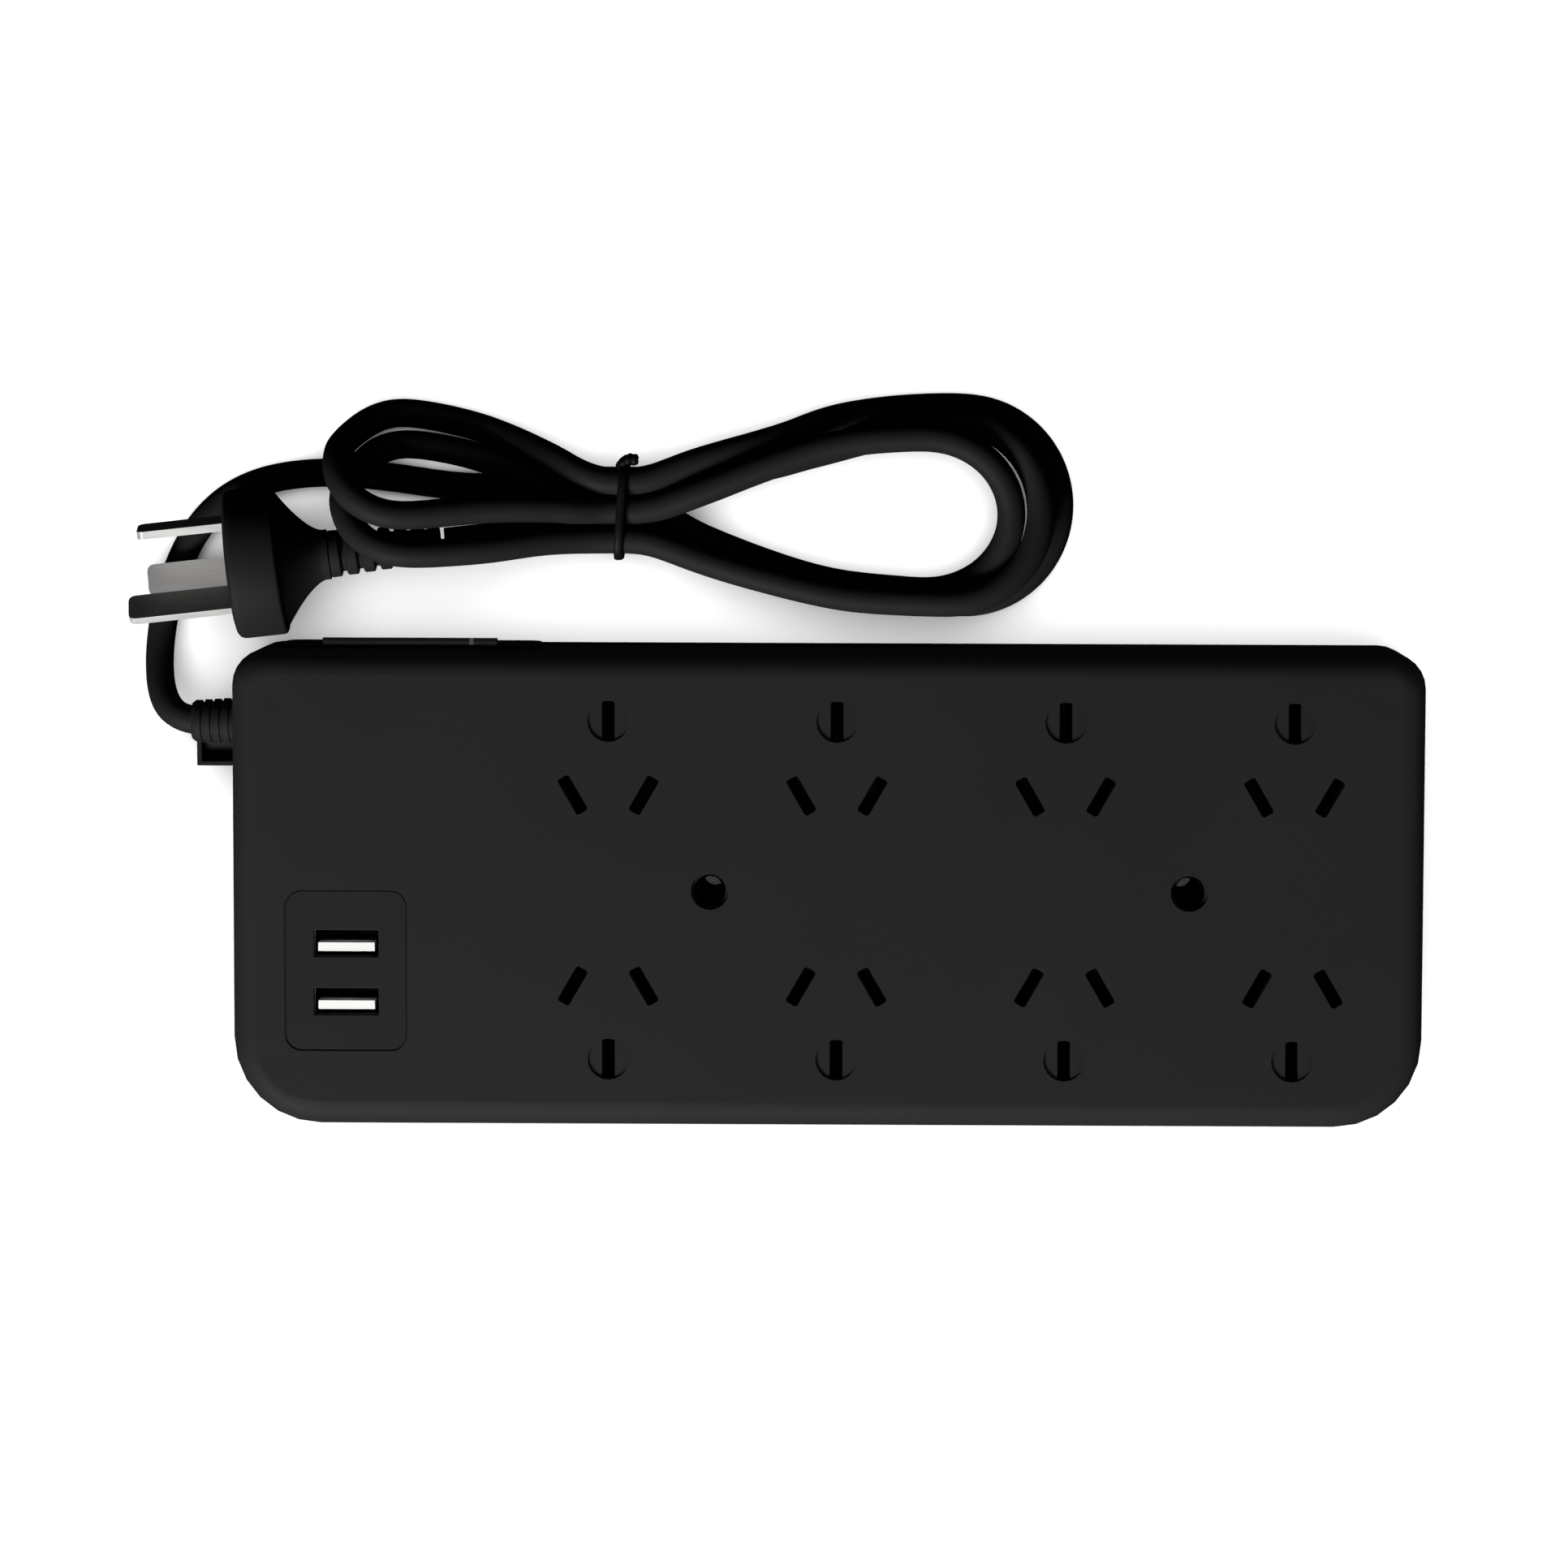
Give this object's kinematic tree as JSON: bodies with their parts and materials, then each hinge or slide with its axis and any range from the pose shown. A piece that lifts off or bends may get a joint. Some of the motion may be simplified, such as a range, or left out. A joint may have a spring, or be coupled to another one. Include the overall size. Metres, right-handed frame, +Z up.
{
  "type": "power strip",
  "caption": "Flat black power strip with two rows of mains sockets, a USB panel, a rear rocker switch, and a tied flex ending in a round plug.",
  "frame": {"origin": "bottom centre of the housing, on the surface that its feet stand on", "axes": "+X along the housing towards the end away from the flex, +Y towards the wall with the switch, +Z up out of the sockets"},
  "size_m": [0.2514, 0.142, 0.03],
  "materials": {
    "housing": "lightly textured black thermoplastic",
    "panel": "smooth black thermoplastic",
    "switch_case": "black nylon",
    "flex": "soft black PVC",
    "pins": "nickel plated brass",
    "contacts": "stamped brass",
    "screws": "zinc plated steel",
    "feet": "black rubber",
    "port_metal": "plated steel",
    "port_tongue": "white nylon",
    "circuit": "green circuit board",
    "transformer": "yellow insulating tape",
    "capacitor": "dark blue sleeve",
    "live_core": "brown PVC insulation",
    "neutral_core": "blue PVC insulation",
    "earth_core": "green and yellow PVC insulation"
  },
  "bodies": {
    "housing": {"base_cover": "housing", "clamp_screw_1": "screws", "clamp_screw_2": "screws", "cord_clamp": "switch_case", "cord_gland": "flex", "cord_hank_left": "flex", "cord_hank_right": "flex", "cord_tail": "flex", "cord_tie": "flex", "earth_bar_front": "contacts", "earth_bar_rear": "contacts", "foot_1": "feet", "foot_2": "feet", "foot_3": "feet", "foot_4": "feet", "housing_screw_1": "screws", "housing_screw_2": "screws", "housing_screw_3": "screws", "housing_screw_4": "screws", "housing_screw_5": "screws", "lead_earth": "earth_core", "lead_load": "live_core", "lead_neutral": "neutral_core", "lead_supply": "live_core", "lead_usb_live": "live_core", "lead_usb_neutral": "neutral_core", "link_earth": "earth_core", "link_live": "live_core", "link_neutral": "neutral_core", "live_bar_front": "contacts", "live_bar_rear": "contacts", "neutral_bar_front": "contacts", "neutral_bar_rear": "contacts", "plug_body": "flex", "plug_pin_earth": "pins", "plug_pin_live": "pins", "plug_pin_neutral": "pins", "plug_relief": "flex", "power_cord": "flex", "switch_body": "switch_case", "switch_terminal_load": "contacts", "switch_terminal_supply": "contacts", "top_cover": "housing", "usb_bezel": "panel", "usb_board": "circuit", "usb_capacitor": "capacitor", "usb_shell_1": "port_metal", "usb_shell_2": "port_metal", "usb_tongue_1": "port_tongue", "usb_tongue_2": "port_tongue", "usb_transformer": "transformer"},
    "rocker": {"switch_rocker": "panel"},
    "contact": {"switch_contact": "contacts"}
  },
  "joints": [
    {"name": "rocker_hinge", "type": "hinge", "parent": "housing", "child": "rocker", "pos_m": [-0.0815, 0.042, 0.0162], "axis": [1, 0, 0], "range_deg": [0, 14]},
    {"name": "contact_hinge", "type": "hinge", "parent": "housing", "child": "contact", "pos_m": [-0.0815, 0.0368, 0.0162], "axis": [1, 0, 0], "range_deg": [-10, 0]}
  ],
  "couplings": [
    {"joint": "contact_hinge", "follows": "rocker_hinge", "ratio": -0.7}
  ]
}
